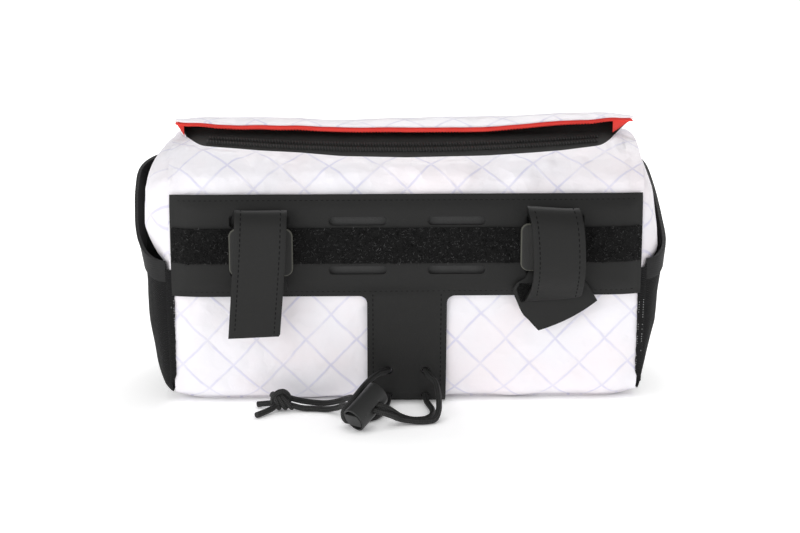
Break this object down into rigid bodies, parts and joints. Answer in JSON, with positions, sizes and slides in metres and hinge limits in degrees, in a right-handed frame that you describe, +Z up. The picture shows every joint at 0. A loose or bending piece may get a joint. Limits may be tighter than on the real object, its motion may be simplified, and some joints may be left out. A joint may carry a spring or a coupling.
{
  "type": "handlebar bag",
  "caption": "Soft barrel-shaped handlebar bag with a zip under a storm flap, stretch end pockets, a slotted back panel with bar straps and an elastic stabiliser cord.",
  "frame": {"origin": "on the floor under the middle of the bag's box, the loose cord and its toggle left out", "axes": "+X along the bag to the right as the bar side is seen, +Y from the bar side to the front, +Z up"},
  "size_m": [0.2772, 0.1577, 0.1418],
  "materials": {
    "cloth": "smooth white laminate with a pale lavender diamond grid",
    "facing": "red coated cloth",
    "zip": "woven zip tape",
    "zip_coil": "satin coil",
    "panel": "rubber-coated cloth, lightly textured",
    "loop_tape": "fuzzy loop pile",
    "strap": "rubber-coated cloth with sewn edges",
    "pad": "cloth-faced foam",
    "pocket": "fine stretch mesh",
    "binding": "smooth folded elastic",
    "cord": "braided cover",
    "toggle": "moulded, fine grain"
  },
  "bodies": {
    "bag": {"shell": "cloth", "end_cap_left": "cloth", "end_cap_right": "cloth", "lid_flap": "cloth", "flap_facing": "facing", "zip_tape": "zip", "zip_coil": "zip_coil", "mount_panel": "panel", "loop_tape": "loop_tape", "strap_left": "strap", "strap_right": "strap", "strap_pad_left": "pad", "strap_pad_right": "pad", "pocket_left": "pocket", "pocket_right": "pocket", "pocket_binding_left": "binding", "pocket_binding_right": "binding", "cord_upper_right": "cord", "cord_lower_right": "cord", "cord_left_loop": "cord", "cord_knot": "cord", "cord_lock_barrel": "toggle"},
    "plunger": {"cord_lock_plunger": "toggle"}
  },
  "joints": [
    {"name": "plunger_press", "type": "slide", "parent": "bag", "child": "plunger", "axis": [0.5859, 0.656, 0.4757], "range_m": [0, 0.0025], "stiffness_N_per_m": 1500}
  ]
}
